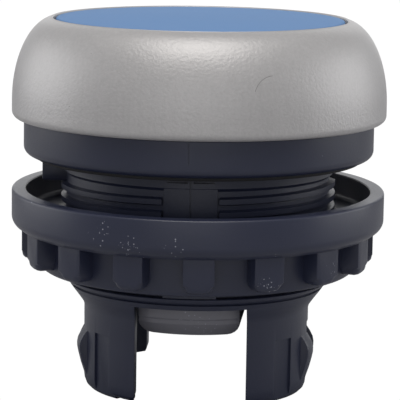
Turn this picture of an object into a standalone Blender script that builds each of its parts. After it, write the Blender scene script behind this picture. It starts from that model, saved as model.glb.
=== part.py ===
"""Operator head of an industrial push button for a 22 mm panel hole.

It is a flush momentary button in a domed bezel. Sizes are in millimetres and MM turns them into metres. The
origin is on the button's axis, level with the tips of the four legs. +Z points at the cap, and -Y at the
parting line on the front of the shaft.
"""

import math

import bmesh
import bpy
from mathutils import Matrix, Vector

MM = 0.001
GAP = 0.25  # left between two pieces that rest on each other or sit in each other
OVERLAP = 0.4  # how far shapes that become one piece run into each other
BEYOND = 1.0  # how far a cutting shape runs past what it cuts
STEPS = 36  # sides of every turned shape

# Overall sizes
SHAFT_RADIUS = 10.95  # over the thread's crests
SHAFT_LENGTH = 10.8  # from the collar to the shaft's lower end
LEG_LENGTH = 7.9
HEAD_OVERHANG = 3.92  # how far the bezel reaches past the thread
COLLAR_HEIGHT = 2.9  # from the panel side of the collar to the bezel
BEZEL_HEIGHT = 7.95
BEZEL_BAND = 3.22  # from the bezel's outside to its opening, seen from above
BUTTON_TRAVEL = 5.2

HEAD_RADIUS = SHAFT_RADIUS + HEAD_OVERHANG
OPENING_RADIUS = HEAD_RADIUS - BEZEL_BAND

SHAFT_END = LEG_LENGTH
COLLAR_UNDERSIDE = SHAFT_END + SHAFT_LENGTH
BEZEL_UNDERSIDE = COLLAR_UNDERSIDE + COLLAR_HEIGHT
HEAD_TOP = BEZEL_UNDERSIDE + BEZEL_HEIGHT

# Threaded shaft
RUNNING_CLEARANCE = 0.3
NECK_RADIUS = SHAFT_RADIUS - 0.2
NECK_LENGTH = 1.45  # plain part between the collar and the thread
THREAD_PITCH = 1.0
THREAD_DEPTH = 0.6
THREAD_ROOT = SHAFT_RADIUS - THREAD_DEPTH
SHAFT_WALL = 2.05
SHAFT_BORE = THREAD_ROOT - SHAFT_WALL
FLAT_WIDTH = 4.1  # plain strips through the thread, front and back
LEAD_IN = 1.3  # height of the cone under the thread
CONE_RADIUS = NECK_RADIUS - 0.15
WEB_THICKNESS = 1.6
WEB_UNDERSIDE = SHAFT_END + 4.5
WEB_TOP = WEB_UNDERSIDE + WEB_THICKNESS

# Bezel and cap
CAP_CLEARANCE = 0.2
CAP_RADIUS = OPENING_RADIUS - CAP_CLEARANCE
BEZEL_WALL = 1.7
BEZEL_BORE = HEAD_RADIUS - BEZEL_WALL
BEZEL_FOOT = 1.4  # straight part of the skirt under the dome
BEZEL_CORNER = 0.5
LEDGE_DEPTH = 2.9  # from the bezel's top to the ledge that holds the seal
LEDGE = HEAD_TOP - LEDGE_DEPTH
CAP_TOP = HEAD_TOP - 0.15
CAP_PLATE = 1.1
CAP_WALL = 0.85
CAP_SKIRT = 2.25
CAP_EDGE = 0.2

# Carrier, ram and spring
CARRIER_RADIUS = CAP_RADIUS - CAP_WALL - GAP
CARRIER_TOP = CAP_TOP - CAP_PLATE - GAP
CARRIER_PLATE = 1.1
CARRIER_UNDERSIDE = CARRIER_TOP - CARRIER_PLATE
SEAL_RING_RADIUS = SHAFT_BORE - RUNNING_CLEARANCE
SEAL_RING_WALL = 0.8
SEAL_RING_HEIGHT = 2.2
STEM_RADIUS = 4.0
STEM_BORE = 2.75
PIN_RADIUS = STEM_BORE - GAP
PIN_LENGTH = 7.1
RAM_WIDTH = 7.9
RAM_REACH = SHAFT_BORE - RUNNING_CLEARANCE
RAM_THICKNESS = 2.5
RAM_SHOULDER = 0.5
BOSS_INSET = 0.15  # how far the shoulder under the pin stands in from the bar's sides
RAM_CHAMFER = 1.0
RAM_SIDE_CHAMFER = (1.3, 0.8)  # across and up, along the long lower edges
RAM_UNDERSIDE = BUTTON_TRAVEL + 0.2  # pressed, it stays just inside the tips of the legs
RAM_TOP = RAM_UNDERSIDE + RAM_THICKNESS
STEM_END = RAM_TOP + RAM_SHOULDER + GAP
WIRE = 0.8
SPRING_TURNS = 5
DEAD_TURNS = 0.75  # the closed part of each end coil
SPRING_RADIUS = STEM_RADIUS + RUNNING_CLEARANCE + WIRE / 2 + 0.5

# Collar, spigot and key
COLLAR_RADIUS = HEAD_RADIUS - 0.95
COLLAR_EDGE = 0.6
EDGE_SHARE = 0.9  # the most of the lip outside the gasket that its edge takes
SPIGOT_RADIUS = BEZEL_BORE - GAP
SPIGOT_WALL = 0.9
SEAL_RADIUS = SPIGOT_RADIUS - 0.1  # outside of the diaphragm's rim and of the clamp ring
CLAMP_THICKNESS = 0.8
RUBBER = 0.5  # thickness of the diaphragm
SPIGOT_TOP = LEDGE - 3 * GAP - CLAMP_THICKNESS - RUBBER
CAVITY_FLOOR = COLLAR_UNDERSIDE + 1.5
KEY_REACH = NECK_RADIUS + 1.6
KEY_WIDTH = 3.1
KEY_HEIGHT = 1.65

# Legs
LEG_RADIUS = SHAFT_BORE + 0.7
LEG_WALL = 2.0
LEG_TIP = (0.35, 0.9)  # chamfer round the tips, in and up
LEG_BLEND = 1.25  # height of the curve from the cone into each leg
ROOT_RADIUS = LEG_RADIUS + 0.85  # where the legs leave the cone
SLOT_CLEARANCE = 0.4  # beside the ram, which moves between the legs
FRONT_SLOT = RAM_WIDTH + 2 * SLOT_CLEARANCE
SLOT_CORNER = 0.5  # chamfer at the mouth of the front slot
REAR_STEP = (1.25, 1.3)  # how far across and up the rear legs are cut back beside the slot
SIDE_SLOT = 2.4
SIDE_SLOT_TOP = 5.5
CATCH_REACH = 0.57
CATCH_WIDTH = 1.75
CATCH_TOP = 4.2
GROOVE_WIDTH = 2.0
GROOVE_DEPTH = 0.3
GROOVE_TOP = 4.9
GROOVE_ANGLE = 53  # degrees from the front and from the back

# Gasket and lock nut
GASKET_WIDTH = 1.3
GASKET_THICKNESS = 0.95
GASKET_PROUD = 0.3
GASKET_RADIUS = (COLLAR_RADIUS + NECK_RADIUS) / 2  # middle of the ring
NUT_BELOW_COLLAR = 2.7  # where the nut stands on its thread
NUT_HEIGHT = 6.3
NUT_BORE = SHAFT_RADIUS + 0.15
NUT_RING = 3.75  # from its bore to the outside of its flange
NUT_RADIUS = NUT_BORE + NUT_RING
NUT_FLANGE = 3.1
NUT_RIM = 1.1
NUT_RECESS = 2.0
NUT_EDGE = 0.15
NUT_UNDERCUT = (0.45, 0.8)  # how the flange draws in at its foot, across and up
RECESS_CORNER = 0.6
NUT_SKIRT_WALL = 1.5
NUT_SKIRT = NUT_BORE + NUT_SKIRT_WALL
NUT_TOP = COLLAR_UNDERSIDE - NUT_BELOW_COLLAR
NUT_BOTTOM = NUT_TOP - NUT_HEIGHT
RIB_COUNT = 16
RIB_WIDTH = 2.1
RIB_REACH = NUT_RADIUS - 0.85
RIB_RISE = 0.5  # from the skirt's end up to the ribs
NUT_TURN = 3.6  # degrees, how the nut happens to stand on its thread


def clear_scene():
    for obj in list(bpy.data.objects):
        bpy.data.objects.remove(obj)


def new_collection(name):
    collection = bpy.data.collections.new(name)
    bpy.context.scene.collection.children.link(collection)
    return collection


def new_material(name, colour, roughness, metallic=0.0):
    material = bpy.data.materials.new(name)
    material.use_nodes = True
    shader = material.node_tree.nodes["Principled BSDF"]
    shader.inputs["Base Color"].default_value = (*colour, 1)
    shader.inputs["Roughness"].default_value = roughness
    shader.inputs["Metallic"].default_value = metallic
    return material


def add(name, mesh, material=None):
    """A piece in the parts collection or, with no material, a hidden shape that cuts or joins."""
    obj = bpy.data.objects.new(name, mesh)
    if material:
        parts.objects.link(obj)
        mesh.materials.append(material)
    else:
        helpers.objects.link(obj)
        obj.hide_render = True
        obj.display_type = "WIRE"
    return obj


def arc(centre, radius, start, end, steps=4):
    """Points of an arc in a profile, or of an ellipse for a pair of radii.

    Angles are in degrees: 0 is outwards and 90 is up.
    """
    across, up = radius if isinstance(radius, tuple) else (radius, radius)
    angles = [math.radians(start + (end - start) * i / steps) for i in range(steps + 1)]
    return [(centre[0] + across * math.cos(a), centre[1] + up * math.sin(a)) for a in angles]


def band(path, thickness):
    """The closed outline of a strip of even thickness along a path that starts at its outer end."""
    left, right = [], []
    for i, point in enumerate(path):
        before = Vector(path[max(i - 1, 0)])
        after = Vector(path[min(i + 1, len(path) - 1)])
        along = (after - before).normalized()
        side = Vector((-along.y, along.x)) * thickness / 2
        left.append(tuple(Vector(point) + side))
        right.append(tuple(Vector(point) - side))
    return left + right[::-1]


def turned(name, profile, material=None):
    """A turned shape. Its profile of (radius, height) points runs down the outer side first.

    It closes on itself unless it starts and ends on the axis.
    """
    mesh = bpy.data.meshes.new(name)
    build = bmesh.new()
    points = [build.verts.new((radius * MM, 0, height * MM)) for radius, height in profile]
    on_axis = profile[0][0] == 0 and profile[-1][0] == 0
    followers = points[1:] if on_axis else points[1:] + points[:1]
    for pair in zip(points, followers):
        build.edges.new(pair)
    build.to_mesh(mesh)
    build.free()
    obj = add(name, mesh, material)
    screw = obj.modifiers.new("turn", "SCREW")
    screw.steps = STEPS
    screw.render_steps = STEPS
    screw.use_merge_vertices = True
    screw.merge_threshold = 0.00001
    return obj


def box(name, low, high):
    """A hidden block between two corners."""
    mesh = bpy.data.meshes.new(name)
    build = bmesh.new()
    size = (Vector(high) - Vector(low)) * MM
    middle = (Vector(high) + Vector(low)) / 2 * MM
    placing = Matrix.Translation(middle) @ Matrix.Diagonal((*size, 1))
    bmesh.ops.create_cube(build, size=1, matrix=placing)
    build.to_mesh(mesh)
    build.free()
    return add(name, mesh)


def prism(name, outline, half_width, turn=0.0):
    """A hidden bar: an outline in the XZ plane pulled out along Y to both sides, then turned about Z."""
    mesh = bpy.data.meshes.new(name)
    build = bmesh.new()
    face = build.faces.new([build.verts.new((x * MM, -half_width * MM, z * MM)) for x, z in outline])
    pulled = bmesh.ops.extrude_face_region(build, geom=[face])
    moved = [part for part in pulled["geom"] if isinstance(part, bmesh.types.BMVert)]
    bmesh.ops.translate(build, verts=moved, vec=(0, 2 * half_width * MM, 0))
    turning = Matrix.Rotation(math.radians(turn), 3, "Z")
    bmesh.ops.rotate(build, verts=build.verts, cent=(0, 0, 0), matrix=turning)
    bmesh.ops.recalc_face_normals(build, faces=build.faces)
    build.to_mesh(mesh)
    build.free()
    return add(name, mesh)


def combine(obj, other, operation):
    step = obj.modifiers.new(f"{operation.lower()} {other.name}", "BOOLEAN")
    step.object = other
    step.operation = operation
    step.solver = "EXACT"


def make_bezel():
    """The front ring. Its domed skirt snaps over the spigot, and its inner ledge holds the seal down."""
    dome_width = HEAD_RADIUS - OPENING_RADIUS + 0.25
    dome_base = BEZEL_UNDERSIDE + BEZEL_FOOT
    corner = (HEAD_RADIUS - BEZEL_CORNER, BEZEL_UNDERSIDE + BEZEL_CORNER)
    profile = [(OPENING_RADIUS + 0.12, HEAD_TOP)]
    profile += arc((HEAD_RADIUS - dome_width, dome_base), (dome_width, HEAD_TOP - dome_base), 82, 0, 8)
    profile += arc(corner, BEZEL_CORNER, 0, -90, 3)
    profile += [
        (BEZEL_BORE, BEZEL_UNDERSIDE),
        (BEZEL_BORE, LEDGE),
        (OPENING_RADIUS, LEDGE),
        (OPENING_RADIUS, HEAD_TOP - 0.12),
    ]
    turned("bezel_ring", profile, silver)


def make_cap():
    """The coloured button plate, a shallow cup that snaps over the carrier."""
    inner = CAP_RADIUS - CAP_WALL
    profile = [
        (0, CAP_TOP),
        (CAP_RADIUS - CAP_EDGE, CAP_TOP),
        (CAP_RADIUS, CAP_TOP - CAP_EDGE),
        (CAP_RADIUS, CAP_TOP - CAP_SKIRT),
        (inner, CAP_TOP - CAP_SKIRT),
        (inner, CAP_TOP - CAP_PLATE),
        (0, CAP_TOP - CAP_PLATE),
    ]
    turned("button_cap", profile, blue)


def make_carrier():
    """The plunger under the cap: a plate, a short ring for the diaphragm, and a tube that runs in the web."""
    ring_end = CARRIER_UNDERSIDE - SEAL_RING_HEIGHT
    ring_inner = SEAL_RING_RADIUS - SEAL_RING_WALL
    profile = [
        (STEM_BORE, CARRIER_TOP),
        (CARRIER_RADIUS, CARRIER_TOP),
        (CARRIER_RADIUS, CARRIER_UNDERSIDE),
        (SEAL_RING_RADIUS, CARRIER_UNDERSIDE),
        (SEAL_RING_RADIUS, ring_end),
        (ring_inner, ring_end),
        (ring_inner, CARRIER_UNDERSIDE),
        (STEM_RADIUS, CARRIER_UNDERSIDE),
        (STEM_RADIUS, STEM_END),
        (STEM_BORE, STEM_END),
    ]
    turned("button_carrier", profile, white)


def make_diaphragm():
    """The rubber seal: its rim lies on the spigot, its lip grips the carrier, and a fold rolls between."""
    rim = SPIGOT_TOP + GAP + RUBBER / 2
    lip = SEAL_RING_RADIUS + GAP + RUBBER / 2
    shoulder = SPIGOT_RADIUS - SPIGOT_WALL - 3 * GAP
    fold = (shoulder - lip) / 2
    path = [(SEAL_RADIUS, rim), (SPIGOT_RADIUS - SPIGOT_WALL, rim)]
    path += arc((lip + fold, rim - 0.5), fold, -10, -170, 5)
    path += [(lip, CARRIER_UNDERSIDE - 2 * GAP)]
    turned("diaphragm_seal", band(path, RUBBER), rubber)


def make_clamp_ring():
    """The slip ring between the bezel's ledge and the diaphragm's rim."""
    low = SPIGOT_TOP + 2 * GAP + RUBBER
    high = LEDGE - GAP
    inner = OPENING_RADIUS + GAP
    turned("clamp_ring", [(SEAL_RADIUS, high), (SEAL_RADIUS, low), (inner, low), (inner, high)], black)


def make_housing():
    """One moulding: collar, spigot, threaded shaft with its guide web, key and legs."""
    groove_roof = COLLAR_UNDERSIDE + GASKET_THICKNESS - GASKET_PROUD + GAP
    groove_outer = GASKET_RADIUS + GASKET_WIDTH / 2 + GAP
    groove_inner = GASKET_RADIUS - GASKET_WIDTH / 2 - GAP
    edge = min(COLLAR_EDGE, EDGE_SHARE * (COLLAR_RADIUS - groove_outer))
    thread_top = COLLAR_UNDERSIDE - NECK_LENGTH
    thread_bottom = SHAFT_END + LEAD_IN
    slope_start = thread_bottom - 0.35
    guide = STEM_RADIUS + RUNNING_CLEARANCE
    spigot_bore = SPIGOT_RADIUS - SPIGOT_WALL
    profile = [
        (SPIGOT_RADIUS, SPIGOT_TOP),
        (SPIGOT_RADIUS, BEZEL_UNDERSIDE - GAP),
        (COLLAR_RADIUS, BEZEL_UNDERSIDE - GAP),
        (COLLAR_RADIUS, COLLAR_UNDERSIDE + edge),
        (COLLAR_RADIUS - edge, COLLAR_UNDERSIDE),
        (groove_outer, COLLAR_UNDERSIDE),
        (groove_outer, groove_roof),
        (groove_inner, groove_roof),
        (groove_inner, COLLAR_UNDERSIDE),
        (NECK_RADIUS, COLLAR_UNDERSIDE),
        (NECK_RADIUS, thread_top + 0.2),
        (THREAD_ROOT, thread_top),
        (THREAD_ROOT, thread_bottom),
        (CONE_RADIUS, thread_bottom - 0.15),
        (CONE_RADIUS, slope_start),
        (ROOT_RADIUS, SHAFT_END),
        (SHAFT_BORE, SHAFT_END),
        (SHAFT_BORE, WEB_UNDERSIDE),
        (guide, WEB_UNDERSIDE),
        (guide, WEB_TOP),
        (SHAFT_BORE, WEB_TOP),
        (SHAFT_BORE, CAVITY_FLOOR),
        (spigot_bore, CAVITY_FLOOR),
        (spigot_bore, SPIGOT_TOP),
    ]
    housing = turned("housing", profile, black)
    combine(housing, make_thread(thread_top, thread_bottom), "UNION")
    combine(housing, make_flats(thread_top, thread_bottom), "UNION")
    key_top = COLLAR_UNDERSIDE - GASKET_PROUD - GAP
    low = (-KEY_REACH, -KEY_WIDTH / 2, key_top - KEY_HEIGHT)
    high = (OVERLAP - NECK_RADIUS, KEY_WIDTH / 2, key_top)
    combine(housing, box("key", low, high), "UNION")
    combine(housing, make_legs(), "UNION")


def make_thread(top, bottom):
    """A helical ridge sunk a little into the shaft, cut away where the plain strips are."""
    root_half, crest_half, sunk = 0.36, 0.14, 0.15
    start = bottom + root_half + 0.15
    count = round((top - start - root_half - 0.15) / THREAD_PITCH * STEPS)
    ridge = [
        (THREAD_ROOT - sunk, start + root_half),
        (SHAFT_RADIUS, start + crest_half),
        (SHAFT_RADIUS, start - crest_half),
        (THREAD_ROOT - sunk, start - root_half),
    ]
    mesh = bpy.data.meshes.new("thread")
    build = bmesh.new()
    face = build.faces.new([build.verts.new((radius * MM, 0, height * MM)) for radius, height in ridge])
    bmesh.ops.spin(
        build,
        geom=[face],
        axis=(0, 0, 1),
        cent=(0, 0, 0),
        dvec=(0, 0, THREAD_PITCH * MM / STEPS),
        angle=math.tau * count / STEPS,
        steps=count,
    )
    bmesh.ops.recalc_face_normals(build, faces=build.faces)
    between_sides = Matrix.Rotation(math.pi / STEPS, 3, "Z")  # keeps its edges off the shaft's own
    bmesh.ops.rotate(build, verts=build.verts, cent=(0, 0, 0), matrix=between_sides)
    build.to_mesh(mesh)
    build.free()
    thread = add("thread", mesh)
    half = FLAT_WIDTH / 2 + 0.15
    limits = box("thread_break", (-half, -HEAD_RADIUS, 0), (half, HEAD_RADIUS, HEAD_TOP))
    combine(thread, limits, "DIFFERENCE")
    return thread


def make_flats(top, bottom):
    """The plain strips through the thread, where the halves of the mould part."""
    outer, inner = NECK_RADIUS - 0.05, THREAD_ROOT - OVERLAP
    high, low = top + OVERLAP, bottom - OVERLAP / 2
    flats = turned("flats", [(outer, high), (outer, low), (inner, low), (inner, high)])
    half = FLAT_WIDTH / 2
    limits = box("flat_limits", (-half, -HEAD_RADIUS, 0), (half, HEAD_RADIUS, HEAD_TOP))
    combine(flats, limits, "INTERSECT")
    return flats


def make_legs():
    """A ring cut into four legs by two slots, with an outer catch and a shallow groove on each leg."""
    inner = LEG_RADIUS - LEG_WALL
    top = SHAFT_END + OVERLAP
    root = ROOT_RADIUS - 0.05
    blend_end = SHAFT_END - LEG_BLEND
    tip_in, tip_up = LEG_TIP
    profile = [
        (root, top),
        (root, SHAFT_END - 0.05),
        (LEG_RADIUS + 0.15, blend_end + 0.3),
        (LEG_RADIUS, blend_end),
        (LEG_RADIUS, tip_up),
        (LEG_RADIUS - tip_in, 0),
        (inner, 0),
        (inner, top),
    ]
    legs = turned("legs", profile)
    reach = HEAD_RADIUS
    combine(legs, make_catches(), "UNION")
    half = FRONT_SLOT / 2
    right = [(half + SLOT_CORNER + BEYOND, -BEYOND), (half, SLOT_CORNER), (half, top + BEYOND)]
    left = [(-x, z) for x, z in reversed(right)]
    combine(legs, prism("front_slot", right + left, reach), "DIFFERENCE")
    across, up = REAR_STEP
    combine(legs, box("rear_step", (-half - across, 0, -BEYOND), (half + across, reach, up)), "DIFFERENCE")
    half = SIDE_SLOT / 2
    combine(legs, box("side_slot", (-reach, -half, -BEYOND), (reach, half, SIDE_SLOT_TOP)), "DIFFERENCE")
    for side in (-90, 90):
        for lean in (-GROOVE_ANGLE, GROOVE_ANGLE):
            combine(legs, make_groove(side + lean), "DIFFERENCE")
    return legs


def make_catches():
    """Four short ridges beside the side slots, which the adapter's bayonet ring pulls on."""
    peak = LEG_RADIUS + CATCH_REACH
    sunk = LEG_RADIUS - OVERLAP
    profile = [
        (sunk, CATCH_TOP + 0.9),
        (peak - 0.15, CATCH_TOP - 0.4),
        (peak, CATCH_TOP - 0.8),
        (peak - 0.1, CATCH_TOP - 1.4),
        (sunk, 0.35),
    ]
    catches = turned("catches", profile)
    half = SIDE_SLOT / 2 + CATCH_WIDTH
    limits = box("catch_limits", (-HEAD_RADIUS, -half, -BEYOND), (HEAD_RADIUS, half, SHAFT_END))
    combine(catches, limits, "INTERSECT")
    return catches


def make_groove(angle):
    half = GROOVE_WIDTH / 2
    low, high = LEG_RADIUS - GROOVE_DEPTH, LEG_RADIUS + BEYOND
    outline = [(low, -BEYOND), (high, -BEYOND), (high, GROOVE_TOP), (low, GROOVE_TOP)]
    return prism(f"groove_{angle}", outline, half, angle)


def make_gasket():
    """The flat rubber ring that seals the collar against the panel."""
    outer, inner = GASKET_RADIUS + GASKET_WIDTH / 2, GASKET_RADIUS - GASKET_WIDTH / 2
    low = COLLAR_UNDERSIDE - GASKET_PROUD
    high = low + GASKET_THICKNESS
    turned("panel_gasket", [(outer, high), (outer, low), (inner, low), (inner, high)], rubber)


def make_spring():
    """The return spring, from the guide web to the carrier, with closed end coils."""
    low = WEB_TOP + GAP + WIRE / 2
    high = CARRIER_UNDERSIDE - GAP - WIRE / 2
    closed = DEAD_TURNS * WIRE * 1.15
    open_pitch = (high - low - 2 * closed) / SPRING_TURNS
    per_turn = 14
    total = SPRING_TURNS + 2 * DEAD_TURNS
    curve = bpy.data.curves.new("return_spring", "CURVE")
    curve.dimensions = "3D"
    curve.bevel_depth = WIRE / 2 * MM
    curve.bevel_resolution = 2
    curve.use_fill_caps = True
    curve.materials.append(steel)
    line = curve.splines.new("POLY")
    line.points.add(round(total * per_turn))
    for i, point in enumerate(line.points):
        turn = i / per_turn
        opened = min(max(turn - DEAD_TURNS, 0), SPRING_TURNS)
        height = low + opened * open_pitch + (turn - opened) * closed / DEAD_TURNS
        angle = turn * math.tau
        radius = SPRING_RADIUS * MM
        point.co = (radius * math.cos(angle), radius * math.sin(angle), height * MM, 1)
    parts.objects.link(bpy.data.objects.new("return_spring", curve))


def make_ram():
    """The bar under the shaft that pushes the contact plungers, with a pin up the carrier's tube."""
    shoulder = RAM_TOP + RAM_SHOULDER
    half = RAM_WIDTH / 2
    bar_end = RAM_UNDERSIDE + RAM_CHAMFER
    profile = [
        (0, RAM_TOP),
        (RAM_REACH, RAM_TOP),
        (RAM_REACH, bar_end),
        (RAM_REACH - RAM_CHAMFER, RAM_UNDERSIDE),
        (0, RAM_UNDERSIDE),
    ]
    across, up = RAM_SIDE_CHAMFER
    side_end = RAM_UNDERSIDE + up
    right = [(half, HEAD_TOP), (half, side_end), (half - across, RAM_UNDERSIDE), (half - across, 0)]
    left = [(-x, z) for x, z in reversed(right)]
    ram = turned("ram", profile, grey)
    combine(ram, prism("ram_sides", right + left, HEAD_RADIUS), "INTERSECT")
    boss_radius = half - BOSS_INSET
    boss = [
        (0, shoulder + PIN_LENGTH),
        (PIN_RADIUS, shoulder + PIN_LENGTH),
        (PIN_RADIUS, shoulder),
        (boss_radius, shoulder),
        (boss_radius, RAM_TOP - OVERLAP),
        (0, RAM_TOP - OVERLAP),
    ]
    combine(ram, turned("ram_boss", boss), "UNION")


def make_nut():
    """The lock nut: a smooth flange round a recess, over a skirt of ribs for the tightening tool."""
    flange_end = NUT_TOP - NUT_FLANGE
    recess_floor = NUT_TOP - NUT_RECESS
    rim_inner = NUT_RADIUS - NUT_RIM
    across, up = NUT_UNDERCUT
    profile = [
        (rim_inner, NUT_TOP),
        (NUT_RADIUS - NUT_EDGE, NUT_TOP),
        (NUT_RADIUS, NUT_TOP - NUT_EDGE),
        (NUT_RADIUS, flange_end + up),
        (NUT_RADIUS - across, flange_end),
        (NUT_SKIRT, flange_end),
        (NUT_SKIRT, NUT_BOTTOM + 0.3),
        (NUT_SKIRT - 0.3, NUT_BOTTOM),
        (NUT_BORE, NUT_BOTTOM),
        (NUT_BORE, recess_floor),
        (rim_inner - RECESS_CORNER, recess_floor),
        (rim_inner, recess_floor + RECESS_CORNER),
    ]
    nut = turned("lock_nut", profile, black)
    combine(nut, make_ribs(flange_end), "UNION")


def make_ribs(flange_end):
    """The ring of round-ended ribs on the nut's skirt, each one a bar turned about the axis."""
    inner = NUT_SKIRT - OVERLAP
    curl = RIB_REACH - NUT_SKIRT
    outline = [(inner, flange_end + OVERLAP), (RIB_REACH, flange_end + OVERLAP)]
    rib_end = NUT_BOTTOM + RIB_RISE
    outline += arc((NUT_SKIRT, rib_end + curl), curl, 0, -80, 3)
    outline += [(inner, rib_end)]
    one = prism("rib", outline, RIB_WIDTH / 2)
    build = bmesh.new()
    for i in range(RIB_COUNT):
        copy = one.data.copy()
        turn = math.radians(NUT_TURN - 90 + i * 360 / RIB_COUNT)
        copy.transform(Matrix.Rotation(turn, 4, "Z"))
        build.from_mesh(copy)
        bpy.data.meshes.remove(copy)
    mesh = bpy.data.meshes.new("ribs")
    build.to_mesh(mesh)
    build.free()
    bpy.data.objects.remove(one)
    return add("ribs", mesh)


clear_scene()
parts = new_collection("push_button_head")
helpers = new_collection("helpers")
silver = new_material("silver_satin", (0.35, 0.35, 0.36), 0.38, 0.6)
blue = new_material("blue_plastic", (0.16, 0.28, 0.51), 0.5)
black = new_material("black_plastic", (0.026, 0.028, 0.042), 0.45)
grey = new_material("grey_plastic", (0.062, 0.065, 0.07), 0.5)
white = new_material("natural_plastic", (0.7, 0.7, 0.66), 0.45)
rubber = new_material("black_rubber", (0.018, 0.018, 0.02), 0.8)
steel = new_material("spring_steel", (0.5, 0.5, 0.5), 0.3, 1.0)

make_bezel()
make_cap()
make_carrier()
make_diaphragm()
make_clamp_ring()
make_housing()
make_gasket()
make_spring()
make_ram()
make_nut()
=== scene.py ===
import math

import bpy
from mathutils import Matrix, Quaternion, Vector


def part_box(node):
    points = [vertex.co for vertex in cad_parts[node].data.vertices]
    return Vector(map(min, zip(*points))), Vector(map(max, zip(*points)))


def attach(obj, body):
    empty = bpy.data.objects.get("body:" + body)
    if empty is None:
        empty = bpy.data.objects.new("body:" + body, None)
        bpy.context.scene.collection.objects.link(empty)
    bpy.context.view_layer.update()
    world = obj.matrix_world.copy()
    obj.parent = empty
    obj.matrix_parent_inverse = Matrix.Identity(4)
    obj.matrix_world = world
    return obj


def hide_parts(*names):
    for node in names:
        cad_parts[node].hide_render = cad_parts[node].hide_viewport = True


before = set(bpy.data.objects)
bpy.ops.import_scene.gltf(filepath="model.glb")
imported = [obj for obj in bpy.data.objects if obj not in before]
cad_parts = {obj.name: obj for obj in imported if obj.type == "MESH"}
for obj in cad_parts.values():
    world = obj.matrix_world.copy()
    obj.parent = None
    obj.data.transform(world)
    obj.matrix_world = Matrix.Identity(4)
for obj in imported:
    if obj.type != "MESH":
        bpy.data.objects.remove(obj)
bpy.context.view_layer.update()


# Housing: one injection moulding in black polyamide. A collar and a spigot stand over a threaded shaft, a
# key on the left stops the head from turning in the panel, and four legs with catches take the contact
# adapter's ring.
MM = 0.001
collar_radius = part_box("housing")[1].x / MM
spigot_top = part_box("housing")[1].z / MM
bezel_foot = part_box("bezel_ring")[0].z / MM
panel_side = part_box("panel_gasket")[0].z / MM + 0.3
shaft_end = 7.9
neck_radius, thread_root, ridge_middle = 10.75, 10.5, 10.6
leg_outer, leg_inner = 9.0, 7.0
cone_radius, root_radius = 10.6, 9.85
front_slot, side_slot = 8.7, 2.4
spigot_outer, spigot_inner, cavity_floor = 12.9, 12.0, 20.2
shaft_bore, guide_bore, web_low, web_high = 8.3, 4.3, 12.4, 14.0
catch_width = 1.75
pad_width = 4.1
far = 16.0  # well past the outside, for cutting shapes


def deselect():
    if bpy.context.object and bpy.context.object.mode == "EDIT":
        bpy.ops.object.mode_set(mode="OBJECT")
    bpy.ops.object.select_all(action="DESELECT")


def activate(piece):
    deselect()
    piece.select_set(True)
    bpy.context.view_layer.objects.active = piece


def settle(name):
    """Names the object just added and puts its place, turn and scale into its mesh."""
    piece = bpy.context.object
    piece.name = name
    piece.data.name = name
    bpy.ops.object.transform_apply(location=True, rotation=True, scale=True)
    return piece


def lathe(name, outline, sides=144):
    """A turned piece: a circle extruded and resized along an outline of (radius, height), in mm.

    An outline that starts or ends by the axis has its end rings capped, and any other has them bridged.
    """
    deselect()
    radius, height = outline[0]
    bpy.ops.mesh.primitive_circle_add(vertices=sides, radius=radius * MM, location=(0, 0, height * MM))
    piece = settle(name)
    bpy.ops.object.mode_set(mode="EDIT")
    bpy.ops.mesh.select_all(action="SELECT")
    for next_radius, next_height in outline[1:]:
        rise = (0, 0, (next_height - height) * MM)
        bpy.ops.mesh.extrude_region_move(TRANSFORM_OT_translate={"value": rise})
        grow = next_radius / radius
        bpy.ops.transform.resize(value=(grow, grow, 1), center_override=(0, 0, next_height * MM))
        radius, height = next_radius, next_height
    bpy.ops.mesh.select_all(action="DESELECT")
    bpy.ops.mesh.select_non_manifold()
    if outline[0][0] < 1 or outline[-1][0] < 1:
        bpy.ops.mesh.fill_holes(sides=0)
    else:
        bpy.ops.mesh.bridge_edge_loops()
    bpy.ops.mesh.select_all(action="SELECT")
    bpy.ops.mesh.normals_make_consistent(inside=False)
    bpy.ops.object.mode_set(mode="OBJECT")
    return piece


def block(name, low, high):
    """A cube stretched between two corners, in mm."""
    deselect()
    middle = [(a + b) / 2 * MM for a, b in zip(low, high)]
    size = [(b - a) * MM for a, b in zip(low, high)]
    bpy.ops.mesh.primitive_cube_add(size=1, location=middle, scale=size)
    return settle(name)


def shape_with(piece, tool, operation="DIFFERENCE"):
    """Cuts, joins or trims a piece with another, which is used up."""
    activate(piece)
    step = piece.modifiers.new("shape", "BOOLEAN")
    step.object = tool
    step.operation = operation
    step.solver = "EXACT"
    bpy.ops.object.modifier_apply(modifier=step.name)
    bpy.data.objects.remove(tool)


def soften(piece, width, segments=2, angle=32):
    """Rounds the sharp edges by a width in mm, as a mould does."""
    activate(piece)
    bpy.ops.object.mode_set(mode="EDIT")
    bpy.ops.mesh.select_all(action="SELECT")
    bpy.ops.mesh.remove_doubles(threshold=0.02 * MM)
    bpy.ops.mesh.dissolve_degenerate(threshold=0.01 * MM)
    bpy.ops.object.mode_set(mode="OBJECT")
    step = piece.modifiers.new("soften", "BEVEL")
    step.width = width * MM
    step.segments = segments
    step.limit_method = "ANGLE"
    step.angle_limit = math.radians(angle)
    bpy.ops.object.modifier_apply(modifier=step.name)
    bpy.ops.object.shade_smooth_by_angle(angle=math.radians(40))


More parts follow.
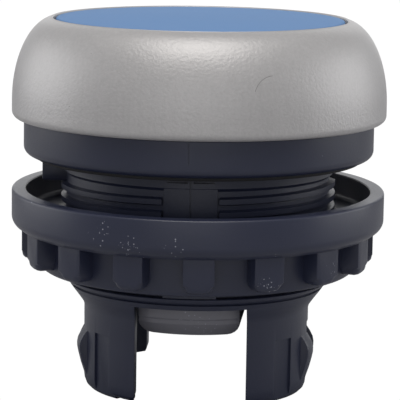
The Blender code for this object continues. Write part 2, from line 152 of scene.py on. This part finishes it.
def round_edges(piece, wanted, width, segments=5):
    """Rounds the edges whose two ends both lie where wanted(place) says, with places and width in mm."""
    activate(piece)
    bpy.ops.object.mode_set(mode="EDIT")
    bpy.ops.mesh.select_all(action="DESELECT")
    bpy.ops.object.mode_set(mode="OBJECT")
    for edge in piece.data.edges:
        edge.select = all(wanted(piece.data.vertices[end].co / MM) for end in edge.vertices)
    bpy.ops.object.mode_set(mode="EDIT")
    bpy.ops.mesh.select_mode(type="EDGE")
    bpy.ops.mesh.bevel(offset=width * MM, segments=segments, affect="EDGES")
    bpy.ops.mesh.select_mode(type="VERT")
    bpy.ops.object.mode_set(mode="OBJECT")


def turn_piece(piece, degrees, axis="Z", centre=(0, 0, 0)):
    """Turns a piece about an axis through a centre, in mm, and keeps the turn in its mesh."""
    activate(piece)
    pivot = [value * MM for value in centre]
    bpy.ops.transform.rotate(value=-math.radians(degrees), orient_axis=axis, center_override=pivot)
    bpy.ops.object.transform_apply(location=True, rotation=True, scale=True)


def rounded(centre, radius, start, end, steps=6):
    """Points of an arc in an outline; degrees, 0 is outwards and 90 is up."""
    angles = [math.radians(start + (end - start) * i / steps) for i in range(steps + 1)]
    return [(centre[0] + radius * math.cos(a), centre[1] + radius * math.sin(a)) for a in angles]


thread_top, thread_bottom = panel_side - 1.45, shaft_end + 1.3
housing = lathe("housing_moulding", [
    (spigot_outer, spigot_top),
    (spigot_outer, bezel_foot - 0.04),
    (collar_radius - 0.06, bezel_foot - 0.04),
    (collar_radius, bezel_foot - 0.1),
    *rounded((collar_radius - 0.65, panel_side + 0.65), 0.65, 0, -90, 7),
    (13.25, panel_side),
    (13.22, panel_side + 0.9),
    (11.42, panel_side + 0.9),
    (11.4, panel_side),
    *rounded((neck_radius + 0.3, panel_side - 0.3), 0.3, 90, 180, 3),
    (neck_radius, thread_top + 0.25),
    (thread_root, thread_top),
    (thread_root, thread_bottom + 0.15),
    (thread_root - 0.4, thread_bottom + 0.05),
    (thread_root - 0.4, thread_bottom - 0.2),
    (cone_radius - 0.06, thread_bottom - 0.27),
    (cone_radius, thread_bottom - 0.33),
    (cone_radius - 0.04, thread_bottom - 0.4),
    (root_radius + 0.52, shaft_end + 0.7),
    (root_radius + 0.2, shaft_end + 0.65),
    (root_radius + 0.13, shaft_end + 0.48),
    (root_radius + 0.29, shaft_end + 0.4),
    (root_radius, shaft_end),
    (8.35, shaft_end),
    (shaft_bore, shaft_end + 0.05),
    (shaft_bore, web_low),
    (guide_bore, web_low),
    (guide_bore, web_high),
    (shaft_bore, web_high),
    (shaft_bore, cavity_floor),
    (spigot_inner, cavity_floor),
    (spigot_inner, spigot_top),
])

# The thread is one helical ridge with a pitch of 1 mm, interrupted where the halves of the mould part.
pitch, turns = 1.0, 7
deselect()
ridge_place = (ridge_middle * MM, 0, (thread_bottom + 0.51) * MM)
bpy.ops.mesh.primitive_plane_add(size=1, location=ridge_place, rotation=(math.radians(90), 0, 0))
bpy.context.object.scale = (0.64 * MM, 0.8 * MM, 1)
thread = settle("thread")
bpy.ops.object.mode_set(mode="EDIT")
bpy.ops.mesh.select_all(action="DESELECT")
bpy.ops.object.mode_set(mode="OBJECT")
for vertex in thread.data.vertices:
    vertex.select = vertex.co.x > ridge_place[0]
bpy.ops.object.mode_set(mode="EDIT")
bpy.ops.transform.resize(value=(1, 1, 0.5))
bpy.ops.mesh.select_all(action="SELECT")
bpy.ops.mesh.delete(type="ONLY_FACE")
bpy.ops.object.mode_set(mode="OBJECT")
winding = thread.modifiers.new("winding", "SCREW")
winding.screw_offset = pitch * MM
winding.iterations = turns
winding.steps = 96
winding.render_steps = 96
winding.use_merge_vertices = False
bpy.ops.object.modifier_apply(modifier=winding.name)
bpy.ops.object.mode_set(mode="EDIT")
bpy.ops.mesh.select_all(action="DESELECT")
bpy.ops.mesh.select_non_manifold()
bpy.ops.mesh.fill_holes(sides=4)
bpy.ops.mesh.select_all(action="SELECT")
bpy.ops.mesh.normals_make_consistent(inside=False)
bpy.ops.object.mode_set(mode="OBJECT")
thread_break = pad_width / 2 + 0.15
shape_with(thread, block("thread_break", (-thread_break, -far, 0), (thread_break, far, 30)))
shape_with(housing, thread, "UNION")

# Plain pads take its place there. Over each are two shallow mould slots, and the parting line runs down it.
pad_top, pad_bottom = thread_top + 0.4, thread_bottom - 0.2
pads = lathe("pads", [(10.7, pad_top), (10.7, pad_bottom), (9.9, pad_bottom), (9.9, pad_top)])
shape_with(pads, block("pad_limits", (-pad_width / 2, -far, 0), (pad_width / 2, far, 30)), "INTERSECT")
shape_with(housing, pads, "UNION")
slot_low, slot_high = panel_side - 0.8, panel_side - 0.52
for front in (-1, 1):
    face = front * neck_radius
    for x in (-1.0, 1.0):
        low = (x - 0.78, face - 0.35, slot_low)
        shape_with(housing, block("mould_slot", low, (x + 0.78, face + 0.35, slot_high)))
    parting = block("parting", (-0.06, face - 0.17, thread_bottom), (0.06, face + 0.17, panel_side - 0.2))
    shape_with(housing, parting)
    edge = front * collar_radius
    parting = block("parting", (-0.05, edge - 0.06, panel_side + 1.1), (0.05, edge + 0.06, bezel_foot - 0.2))
    shape_with(housing, parting)

legs = lathe("legs", [
    (root_radius - 0.03, 8.3),
    (root_radius - 0.03, shaft_end - 0.03),
    (leg_outer + 0.32, shaft_end - 0.7),
    (leg_outer + 0.1, shaft_end - 1.02),
    (leg_outer, shaft_end - 1.35),
    (leg_outer, 1.1),
    (leg_outer - 0.06, 0.6),
    (leg_outer - 0.2, 0.22),
    (leg_outer - 0.42, 0),
    (leg_inner, 0),
    (leg_inner, 8.3),
])
shape_with(legs, block("front_slot", (-front_slot / 2, -far, -1), (front_slot / 2, far, 10)))
step_reach = front_slot / 2 + 1.25
shape_with(legs, block("rear_step", (-step_reach, 0, -1), (step_reach, far, 1.3)))
round_edges(legs, lambda place: abs(place.x) < step_reach + 0.05 and place.z < 0.05 and place.y < 0, 0.5)
round_edges(legs, lambda place: abs(place.x) < front_slot / 2 + 0.05 and abs(place.z - 1.3) < 0.05, 0.4)
catches = lathe("catches", [
    (8.6, 5.08),
    (8.98, 4.75),
    (9.28, 4.3),
    (9.5, 3.85),
    (9.57, 3.45),
    (9.56, 3.1),
    (9.47, 2.65),
    (9.28, 1.9),
    (9.0, 1.05),
    (8.6, 0.5),
], sides=96)
catch_side = side_slot / 2 + catch_width
shape_with(catches, block("catch_limits", (-far, -catch_side, -1), (far, catch_side, 8)), "INTERSECT")
soften(catches, 0.5, 5)
shape_with(legs, catches, "UNION")
shape_with(legs, block("side_slot", (-far, -side_slot / 2, -1), (far, side_slot / 2, 5.5)))
for side in (-90, 90):
    for lean in (-53, 53):
        groove = block("groove", (leg_outer - 0.22, -1, -1), (leg_outer + 2, 1, 4.9))
        turn_piece(groove, side + lean)
        shape_with(legs, groove)
soften(legs, 0.14, 3)
shape_with(housing, legs, "UNION")
key = block("key", (-12.35, -1.55, 16.5), (-10.2, 1.55, 18.15))
soften(key, 0.15)
shape_with(housing, key, "UNION")
activate(housing)
bpy.ops.object.shade_smooth_by_angle(angle=math.radians(30))


def node_group(name, inputs, outputs):
    """An empty shader node group with number or vector inputs, and with value outputs."""
    group = bpy.data.node_groups.new(name, "ShaderNodeTree")
    for socket, default in inputs.items():
        kind = "NodeSocketVector" if isinstance(default, tuple) else "NodeSocketFloat"
        made = group.interface.new_socket(name=socket, in_out="INPUT", socket_type=kind)
        made.default_value = default
    for socket in outputs:
        group.interface.new_socket(name=socket, in_out="OUTPUT", socket_type="NodeSocketFloat")
    return group, group.nodes.new("NodeGroupInput"), group.nodes.new("NodeGroupOutput")


def maths(tree, operation, first, second, clamp=False):
    """A Math node on two sockets or numbers; gives its output."""
    node = tree.nodes.new("ShaderNodeMath")
    node.operation = operation
    node.use_clamp = clamp
    for socket, value in zip(node.inputs, (first, second)):
        if isinstance(value, (int, float)):
            socket.default_value = value
        else:
            tree.links.new(value, socket)
    return node.outputs[0]


def noise(tree, vector, scale, detail=3.0, roughness=0.55):
    node = tree.nodes.new("ShaderNodeTexNoise")
    tree.links.new(vector, node.inputs["Vector"])
    if isinstance(scale, (int, float)):
        node.inputs["Scale"].default_value = scale
    else:
        tree.links.new(scale, node.inputs["Scale"])
    node.inputs["Detail"].default_value = detail
    node.inputs["Roughness"].default_value = roughness
    return node.outputs["Fac"]


# Moulded skin: the fine spark-eroded grain that a mould leaves, and the slow drift in shade of a moulding.
moulded_skin, given, put = node_group("moulded_skin", {"Grain": 4500.0, "Drift": 0.15}, ["Shade", "Height"])
place = moulded_skin.nodes.new("ShaderNodeTexCoord").outputs["Object"]
grain = noise(moulded_skin, place, given.outputs["Grain"], 4.0)
slow = noise(moulded_skin, place, 160.0, 2.0)
swing = maths(moulded_skin, "MULTIPLY", maths(moulded_skin, "SUBTRACT", slow, 0.5), given.outputs["Drift"])
fleck = maths(moulded_skin, "MULTIPLY", maths(moulded_skin, "SUBTRACT", grain, 0.5), given.outputs["Drift"])
shade = maths(moulded_skin, "ADD", maths(moulded_skin, "ADD", swing, fleck), 1.0)
moulded_skin.links.new(shade, put.inputs["Shade"])
moulded_skin.links.new(grain, put.inputs["Height"])

# Dust: pale specks of lint and rubbed plastic, which gather round a centre and thin out towards the
# patch's reach.
dust, given, put = node_group("dust", {"Centre": (0.0, 0.0, 0.0), "Reach": 0.001, "Amount": 0.5}, ["Mask"])
place = dust.nodes.new("ShaderNodeTexCoord").outputs["Object"]
specks = dust.nodes.new("ShaderNodeTexVoronoi")
specks.inputs["Scale"].default_value = 7000.0
dust.links.new(place, specks.inputs["Vector"])
chance = dust.nodes.new("ShaderNodeSeparateColor")
dust.links.new(specks.outputs["Color"], chance.inputs["Color"])
away = dust.nodes.new("ShaderNodeVectorMath")
away.operation = "DISTANCE"
dust.links.new(place, away.inputs[0])
dust.links.new(given.outputs["Centre"], away.inputs[1])
share = maths(dust, "DIVIDE", away.outputs["Value"], given.outputs["Reach"])
spread = maths(dust, "SUBTRACT", 1.0, share, clamp=True)
patchy = maths(dust, "MULTIPLY", noise(dust, place, 1400.0, 2.0), 2.0)
limit = maths(dust, "MULTIPLY", maths(dust, "MULTIPLY", spread, patchy), given.outputs["Amount"])
picked = maths(dust, "LESS_THAN", chance.outputs["Red"], limit)
size = maths(dust, "MULTIPLY", chance.outputs["Green"], 0.5)
near = maths(dust, "MULTIPLY", maths(dust, "SUBTRACT", size, specks.outputs["Distance"]), 6.0, clamp=True)
dust.links.new(maths(dust, "MULTIPLY", picked, near), put.inputs["Mask"])


def plastic(name, colour, roughness, patches=(), drift=0.15, grain=4500.0, bump=0.006):
    """A moulded plastic or rubber, with its grain and drift of shade, and with patches of dust.

    A patch is given by its centre and reach, in mm, and its amount.
    """
    material = bpy.data.materials.new(name)
    material.use_nodes = True
    tree = material.node_tree
    shader = tree.nodes["Principled BSDF"]
    skin = tree.nodes.new("ShaderNodeGroup")
    skin.node_tree = moulded_skin
    skin.inputs["Grain"].default_value = grain
    skin.inputs["Drift"].default_value = drift
    dusty = 0.0
    for centre, reach, amount in patches:
        patch = tree.nodes.new("ShaderNodeGroup")
        patch.node_tree = dust
        patch.inputs["Centre"].default_value = Vector(centre) * MM
        patch.inputs["Reach"].default_value = reach * MM
        patch.inputs["Amount"].default_value = amount
        dusty = maths(tree, "ADD", patch.outputs["Mask"], dusty, clamp=True)
    shaded = tree.nodes.new("ShaderNodeVectorMath")
    shaded.operation = "SCALE"
    shaded.inputs[0].default_value = colour
    tree.links.new(skin.outputs["Shade"], shaded.inputs["Scale"])
    colour_out = shaded.outputs["Vector"]
    if patches:
        dusted = tree.nodes.new("ShaderNodeMix")
        dusted.data_type = "RGBA"
        dusted.inputs["B"].default_value = (0.29, 0.3, 0.35, 1)
        tree.links.new(dusty, dusted.inputs["Factor"])
        tree.links.new(colour_out, dusted.inputs["A"])
        colour_out = dusted.outputs["Result"]
    tree.links.new(colour_out, shader.inputs["Base Color"])
    worn = maths(tree, "MULTIPLY", maths(tree, "SUBTRACT", skin.outputs["Shade"], 1.0), 0.8)
    tree.links.new(maths(tree, "ADD", worn, roughness), shader.inputs["Roughness"])
    relief = tree.nodes.new("ShaderNodeBump")
    relief.inputs["Distance"].default_value = bump * MM
    tree.links.new(skin.outputs["Height"], relief.inputs["Height"])
    tree.links.new(relief.outputs["Normal"], shader.inputs["Normal"])
    return material


def finish_piece(piece, material, slot, body, *nodes):
    """Gives a piece its material and fixes it to the body whose nodes it stands for. The slot is not used."""
    piece.data.materials.clear()
    piece.data.materials.append(material)
    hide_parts(*nodes)
    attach(piece, body)


housing_dust = [((9.9, -9.8, 20.1), 0.3, 0.6), ((-3.0, -8.4, 2.0), 1.5, 0.15)]
housing_black = plastic("housing_black", (0.018, 0.022, 0.046), 0.38, housing_dust)
finish_piece(housing, housing_black, "housing_black", "housing", "housing")


# Panel gasket: a flat ring of black rubber, pressed into the groove in the collar's underside. It stands a
# little proud there and seals the head against the front of the panel.
gasket_low, gasket_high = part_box("panel_gasket")
gasket_middle = 12.335
gasket = lathe("gasket_ring", [
    (gasket_middle + 0.65, gasket_high.z / MM),
    (gasket_middle + 0.65, gasket_low.z / MM),
    (gasket_middle - 0.65, gasket_low.z / MM),
    (gasket_middle - 0.65, gasket_high.z / MM),
])
soften(gasket, 0.15, 3)
seal_rubber = plastic("seal_rubber", (0.008, 0.008, 0.01), 0.8, grain=2500.0, bump=0.012)
finish_piece(gasket, seal_rubber, "seal_rubber", "housing", "panel_gasket")


# Lock nut: a moulded black ring that screws up the shaft against the back of the panel. Its smooth flange
# has a recess for the key, and the tightening tool grips the sixteen ribs on the skirt. Handling has
# scuffed it.
nut_low, nut_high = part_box("lock_nut")
nut_top, nut_bottom = nut_high.z / MM, nut_low.z / MM
nut_radius = nut_high.x / MM
nut_middle = (nut_top + nut_bottom) / 2
nut = lathe("ribbed_nut", [
    (nut_radius - 1.12, nut_top - 0.08),
    (nut_radius - 1.04, nut_top),
    (nut_radius - 0.22, nut_top),
    *rounded((nut_radius - 0.2, nut_top - 0.2), 0.2, 80, 0, 3),
    (nut_radius, nut_top - 2.1),
    *rounded((nut_radius - 0.85, nut_top - 2.2), 0.85, 0, -55, 5),
    (nut_radius - 0.65, nut_top - 3.1),
    (12.65, nut_top - 3.1),
    (12.6, nut_top - 3.15),
    (12.6, nut_bottom + 0.4),
    *rounded((12.3, nut_bottom + 0.3), 0.3, 0, -90, 4),
    (11.95, nut_bottom),
    (11.9, nut_bottom + 0.12),
    (11.5, nut_bottom + 0.12),
    (11.1, nut_bottom + 0.4),
    (11.1, nut_top - 2.35),
    (11.45, nut_top - 2.0),
    *rounded((nut_radius - 1.52, nut_top - 1.6), 0.4, -90, 0, 5),
])
rib_count, first_rib = 16, 3.6 - 90
rib_reach, rib_half = 14.0, 1.2
rib_low, rib_high = nut_bottom + 0.45, nut_top - 2.9
ribs = []
for i in range(rib_count):
    rib = block("rib", (12.3, -rib_half, rib_low), (rib_reach, rib_half, rib_high))
    for side in (-1, 1):
        round_edges(rib, lambda place: place.y * side > 0.9 and place.z < rib_low + 0.01, 0.8, 7)
    round_edges(rib, lambda place: place.x > 13.9 and place.z < rib_low + 0.7, 0.5, 3)
    soften(rib, 0.22, 3)
    turn_piece(rib, first_rib + i * 360 / rib_count)
    ribs.append(rib)
deselect()
for rib in ribs:
    rib.select_set(True)
bpy.context.view_layer.objects.active = ribs[0]
bpy.ops.object.join()
shape_with(nut, bpy.context.object, "UNION")
turn_piece(nut, 1.0, "X", (0, 0, nut_middle))
bpy.ops.object.shade_smooth_by_angle(angle=math.radians(30))
nut_dust = [
    ((-6.6, -13.3, 14.4), 1.2, 0.5),
    ((-4.4, -14.1, 13.3), 1.5, 0.45),
    ((-0.9, -14.8, 13.6), 1.0, 0.35),
    ((6.0, -12.6, 10.6), 1.1, 0.95),
    ((6.6, -13.2, 12.8), 0.8, 0.5),
    ((11.0, -8.7, 11.4), 1.1, 0.5),
    ((-12.3, -8.3, 15.6), 0.35, 0.9),
]
nut_black = plastic("nut_black", (0.019, 0.023, 0.048), 0.36, nut_dust)
finish_piece(nut, nut_black, "nut_black", "lock_nut", "lock_nut")


# Ram: a grey moulded bar that moves between the legs and pushes the contact plungers. Its pin runs up
# inside the carrier's stem, and its upper band stands a little proud, as the mould left it.
ram_low, ram_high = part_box("ram")
ram_reach = ram_high.y / MM
ram_bottom = ram_low.z / MM
ram_half = ram_high.x / MM
ram = lathe("ram_bar", [
    (0.5, ram_bottom + 2.5),
    (ram_reach, ram_bottom + 2.5),
    (ram_reach, ram_bottom + 1.45),
    (ram_reach - 0.15, ram_bottom + 1.3),
    (ram_reach - 0.15, ram_bottom + 1.0),
    (ram_reach - 1.1, ram_bottom - 0.05),
    (0.5, ram_bottom - 0.05),
])
ram_sides = block("ram_sides", (-ram_half, -far, ram_bottom), (ram_half, far, 30))
round_edges(ram_sides, lambda place: place.z < ram_bottom + 0.01 and abs(place.x) > 1, 1.0)
shape_with(ram, ram_sides, "INTERSECT")
soften(ram, 0.18, 3)
boss = lathe("ram_boss", [
    (0.5, ram_high.z / MM),
    (2.3, ram_high.z / MM),
    (2.5, ram_high.z / MM - 0.2),
    (2.5, ram_bottom + 3.0),
    (3.6, ram_bottom + 3.0),
    (3.6, ram_bottom + 2.0),
    (0.5, ram_bottom + 2.0),
])
shape_with(ram, boss, "UNION")
turn_piece(ram, -1.6)
bpy.ops.object.shade_smooth_by_angle(angle=math.radians(30))
ram_grey = plastic("ram_grey", (0.16, 0.16, 0.185), 0.34, [((0.3, -8.2, 6.4), 2.0, 0.3)], bump=0.003)
finish_piece(ram, ram_grey, "ram_grey", "button", "ram")


# Inside the head: the carrier under the cap, the diaphragm with its clamp ring, and the return spring.
# They keep their CAD shapes and take their own finish. The diaphragm and the spring don't yet follow the
# button down.
inside = {
    "button_carrier": plastic("carrier_natural", (0.62, 0.62, 0.57), 0.42),
    "diaphragm_seal": seal_rubber,
    "clamp_ring": housing_black,
    "return_spring": plastic("drawn_wire", (0.5, 0.5, 0.52), 0.28, drift=0.3, grain=9000.0),
}
inside["return_spring"].node_tree.nodes["Principled BSDF"].inputs["Metallic"].default_value = 1.0
for node, material in inside.items():
    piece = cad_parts[node]
    for face_slot in piece.material_slots:
        face_slot.material = material


# Bezel: the domed front ring, moulded in plastic with a satin silver lacquer, which sparkles where light
# grazes it. It snaps over the collar's spigot and frames the cap.
bezel_low, bezel_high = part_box("bezel_ring")
bezel_top, bezel_foot, bezel_radius = bezel_high.z / MM, bezel_low.z / MM, bezel_high.x / MM
bezel_band, bezel_bore = 3.22, 13.17
opening, ledge = bezel_radius - bezel_band, bezel_top - 2.9
dome_width, dome_base = 3.47, bezel_foot + 1.4
dome = []
for i in range(25):
    angle = math.radians(83 - 83 * i / 24)
    radius = bezel_radius - dome_width + dome_width * math.cos(angle)
    dome.append((radius, dome_base + (bezel_top - dome_base) * math.sin(angle)))
bezel = lathe("bezel_shell", [
    (opening, bezel_top - 0.14),
    (opening + 0.05, bezel_top - 0.05),
    (opening + 0.14, bezel_top - 0.01),
    *dome,
    (bezel_radius, bezel_foot + 0.95),
    *rounded((bezel_radius - 0.55, bezel_foot + 0.55), 0.55, 0, -84, 8),
    (bezel_radius - 0.62, bezel_foot),
    (13.2, bezel_foot),
    (bezel_bore, bezel_foot + 0.05),
    (bezel_bore, ledge),
    (opening + 0.05, ledge),
    (opening, bezel_top - 2.85),
], sides=256)
bpy.ops.object.shade_smooth_by_angle(angle=math.radians(38))

# Scratch: a thin curved mark, part of a circle round a point on the surface.
scratch, given, put = node_group(
    "scratch", {"Centre": (0.0, 0.0, 0.0), "Radius": 1.0, "Width": 0.1, "Left Of": 0.0, "Above": 0.0}, ["Mask"])
place = scratch.nodes.new("ShaderNodeTexCoord").outputs["Object"]
away = scratch.nodes.new("ShaderNodeVectorMath")
away.operation = "DISTANCE"
scratch.links.new(place, away.inputs[0])
scratch.links.new(given.outputs["Centre"], away.inputs[1])
past_ring = maths(scratch, "SUBTRACT", away.outputs["Value"], given.outputs["Radius"])
from_ring = maths(scratch, "ABSOLUTE", past_ring, 0.0)
line = maths(scratch, "LESS_THAN", from_ring, given.outputs["Width"])
parted = scratch.nodes.new("ShaderNodeSeparateXYZ")
scratch.links.new(place, parted.inputs["Vector"])
left = maths(scratch, "LESS_THAN", parted.outputs["X"], given.outputs["Left Of"])
above = maths(scratch, "GREATER_THAN", parted.outputs["Z"], given.outputs["Above"])
within = maths(scratch, "MULTIPLY", left, above)
scratch.links.new(maths(scratch, "MULTIPLY", line, within), put.inputs["Mask"])

silver = bpy.data.materials.new("silver_lacquer")
silver.use_nodes = True
tree = silver.node_tree
shader = tree.nodes["Principled BSDF"]
shader.inputs["Metallic"].default_value = 0.35
place = tree.nodes.new("ShaderNodeTexCoord").outputs["Object"]
flakes = noise(tree, place, 5200.0, 3.0)
drag = tree.nodes.new("ShaderNodeMapping")
drag.inputs["Scale"].default_value = (1.0, 1.0, 0.06)
tree.links.new(place, drag.inputs["Vector"])
streaks = noise(tree, drag.outputs["Vector"], 2600.0, 2.0)
cloud = noise(tree, place, 260.0, 2.0)
marks = 0.0
for centre, radius, width, left_of, above in [
    ((6.3, -13.2, 24.85), 1.65, 0.022, 6.1, 25.35),
    ((-7.6, -11.6, 27.75), 0.0, 0.08, 20.0, 0.0),
    ((-9.2, -11.7, 23.7), 0.0, 0.06, 20.0, 0.0),
    ((5.2, -13.2, 26.1), 0.0, 0.06, 20.0, 0.0),
]:
    mark = tree.nodes.new("ShaderNodeGroup")
    mark.node_tree = scratch
    mark.inputs["Centre"].default_value = Vector(centre) * MM
    mark.inputs["Radius"].default_value = radius * MM
    mark.inputs["Width"].default_value = width * MM
    mark.inputs["Left Of"].default_value = left_of * MM
    mark.inputs["Above"].default_value = above * MM
    marks = maths(tree, "ADD", mark.outputs["Mask"], marks, clamp=True)
spread = maths(tree, "MULTIPLY", maths(tree, "SUBTRACT", flakes, 0.5), 0.22)
spread = maths(tree, "ADD", spread, maths(tree, "MULTIPLY", maths(tree, "SUBTRACT", streaks, 0.5), 0.10))
spread = maths(tree, "ADD", spread, maths(tree, "MULTIPLY", maths(tree, "SUBTRACT", cloud, 0.5), 0.06))
shade = maths(tree, "ADD", spread, 1.0)
lacquer = tree.nodes.new("ShaderNodeVectorMath")
lacquer.operation = "SCALE"
lacquer.inputs[0].default_value = (0.44, 0.432, 0.435)
tree.links.new(shade, lacquer.inputs["Scale"])
marked = tree.nodes.new("ShaderNodeMix")
marked.data_type = "RGBA"
marked.inputs["B"].default_value = (0.24, 0.235, 0.235, 1)
tree.links.new(marks, marked.inputs["Factor"])
tree.links.new(lacquer.outputs["Vector"], marked.inputs["A"])
tree.links.new(marked.outputs["Result"], shader.inputs["Base Color"])
tree.links.new(maths(tree, "ADD", maths(tree, "MULTIPLY", spread, 0.5), 0.43), shader.inputs["Roughness"])
relief = tree.nodes.new("ShaderNodeBump")
relief.inputs["Distance"].default_value = 0.03 * MM
tree.links.new(noise(tree, place, 4300.0, 3.0), relief.inputs["Height"])
tree.links.new(relief.outputs["Normal"], shader.inputs["Normal"])
finish_piece(bezel, silver, "bezel_silver", "housing", "bezel_ring")


# Cap: the blue button plate, a shallow cup moulded in matt plastic. It snaps over the carrier and sits
# flush in the bezel.
cap_low, cap_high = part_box("button_cap")
cap_radius, cap_foot = cap_high.x / MM, cap_low.z / MM
cap_top = cap_high.z / MM + 0.1  # its face stands almost level with the bezel
cap = lathe("cap_plate", [
    (0.5, cap_top),
    (cap_radius - 0.22, cap_top),
    *rounded((cap_radius - 0.2, cap_top - 0.2), 0.2, 80, 0, 4),
    (cap_radius, cap_foot),
    (cap_radius - 0.85, cap_foot),
    (cap_radius - 0.85, cap_top - 1.1),
    (0.5, cap_top - 1.1),
], sides=192)
bpy.ops.object.shade_smooth_by_angle(angle=math.radians(38))
cap_blue = plastic("cap_blue", (0.086, 0.21, 0.44), 0.62, drift=0.06, grain=3500.0)
cap_blue.node_tree.nodes["Principled BSDF"].inputs["Specular IOR Level"].default_value = 0.3
finish_piece(cap, cap_blue, "cap_blue", "button", "button_cap")


# Stage: a plain pale table and a white studio that is softer than it looks. A broad light hangs over the
# front of the cap, a weak one fills the front, and three panels, behind and at the sides, edge the black
# parts.
deselect()
bpy.ops.mesh.primitive_plane_add(size=4, location=(0, 0, 0))
table = settle("table")
table_white = bpy.data.materials.new("table_white")
table_white.use_nodes = True
tree = table_white.node_tree
tree.nodes["Principled BSDF"].inputs["Base Color"].default_value = (0.42, 0.42, 0.43, 1)
tree.nodes["Principled BSDF"].inputs["Roughness"].default_value = 0.8
glow = tree.nodes.new("ShaderNodeEmission")
glow.inputs["Strength"].default_value = 1.02
sight = tree.nodes.new("ShaderNodeLightPath")
blend = tree.nodes.new("ShaderNodeMixShader")
tree.links.new(sight.outputs["Is Camera Ray"], blend.inputs["Fac"])
tree.links.new(tree.nodes["Principled BSDF"].outputs["BSDF"], blend.inputs[1])
tree.links.new(glow.outputs["Emission"], blend.inputs[2])
tree.links.new(blend.outputs["Shader"], tree.nodes["Material Output"].inputs["Surface"])
table.data.materials.append(table_white)

studio = bpy.data.worlds.new("studio")
bpy.context.scene.world = studio
studio.use_nodes = True
tree = studio.node_tree
room = tree.nodes["Background"]
room.inputs["Color"].default_value = (0.97, 0.98, 1.0, 1)
room.inputs["Strength"].default_value = 0.4
backdrop = tree.nodes.new("ShaderNodeBackground")
backdrop.inputs["Color"].default_value = (1, 1, 1, 1)
backdrop.inputs["Strength"].default_value = 1.05
sight = tree.nodes.new("ShaderNodeLightPath")
blend = tree.nodes.new("ShaderNodeMixShader")
tree.links.new(sight.outputs["Is Camera Ray"], blend.inputs["Fac"])
tree.links.new(room.outputs["Background"], blend.inputs[1])
tree.links.new(backdrop.outputs["Background"], blend.inputs[2])
tree.links.new(blend.outputs["Shader"], tree.nodes["World Output"].inputs["Surface"])


def softbox(name, place, aim, size, power, colour=(1, 1, 1)):
    """A square area light at a place, turned to a point it aims at; both in mm."""
    light = bpy.data.lights.new(name, "AREA")
    light.size = size * MM
    light.energy = power
    light.color = colour
    lamp = bpy.data.objects.new(name, light)
    bpy.context.scene.collection.objects.link(lamp)
    lamp.location = Vector(place) * MM
    lamp.visible_camera = False
    lamp.rotation_euler = (Vector(aim) - Vector(place)).to_track_quat("-Z", "Y").to_euler()


softbox("over_front", (0, -95, 270), (0, 0, 20), 190, 0.45, (1.0, 0.97, 0.93))
softbox("front_fill", (0, -330, 10), (0, 0, 15), 260, 0.17)
softbox("back_panel", (0, 330, 90), (0, 0, 20), 300, 0.22)
softbox("left_panel", (-260, 60, 30), (0, 0, 12), 240, 0.3)
softbox("right_panel", (260, 60, 30), (0, 0, 12), 240, 0.3)

# Camera: a little above the cap and to the right of the parting line, close as for a product shot.
distance, rise, turn, roll = 200, 46.76, math.radians(3), math.radians(0.9)
camera = bpy.data.objects.new("camera", bpy.data.cameras.new("camera"))
bpy.context.scene.collection.objects.link(camera)
camera.location = Vector((distance * math.sin(turn), -distance * math.cos(turn), rise)) * MM
aim = Vector((0.17, 0, 14.96)) * MM - camera.location
camera.rotation_euler = (aim.to_track_quat("-Z", "Y") @ Quaternion((0, 0, 1), roll)).to_euler()
camera.data.lens = 227.8
camera.data.clip_start = 0.005
bpy.context.scene.camera = camera
bpy.context.scene.view_settings.view_transform = "Standard"
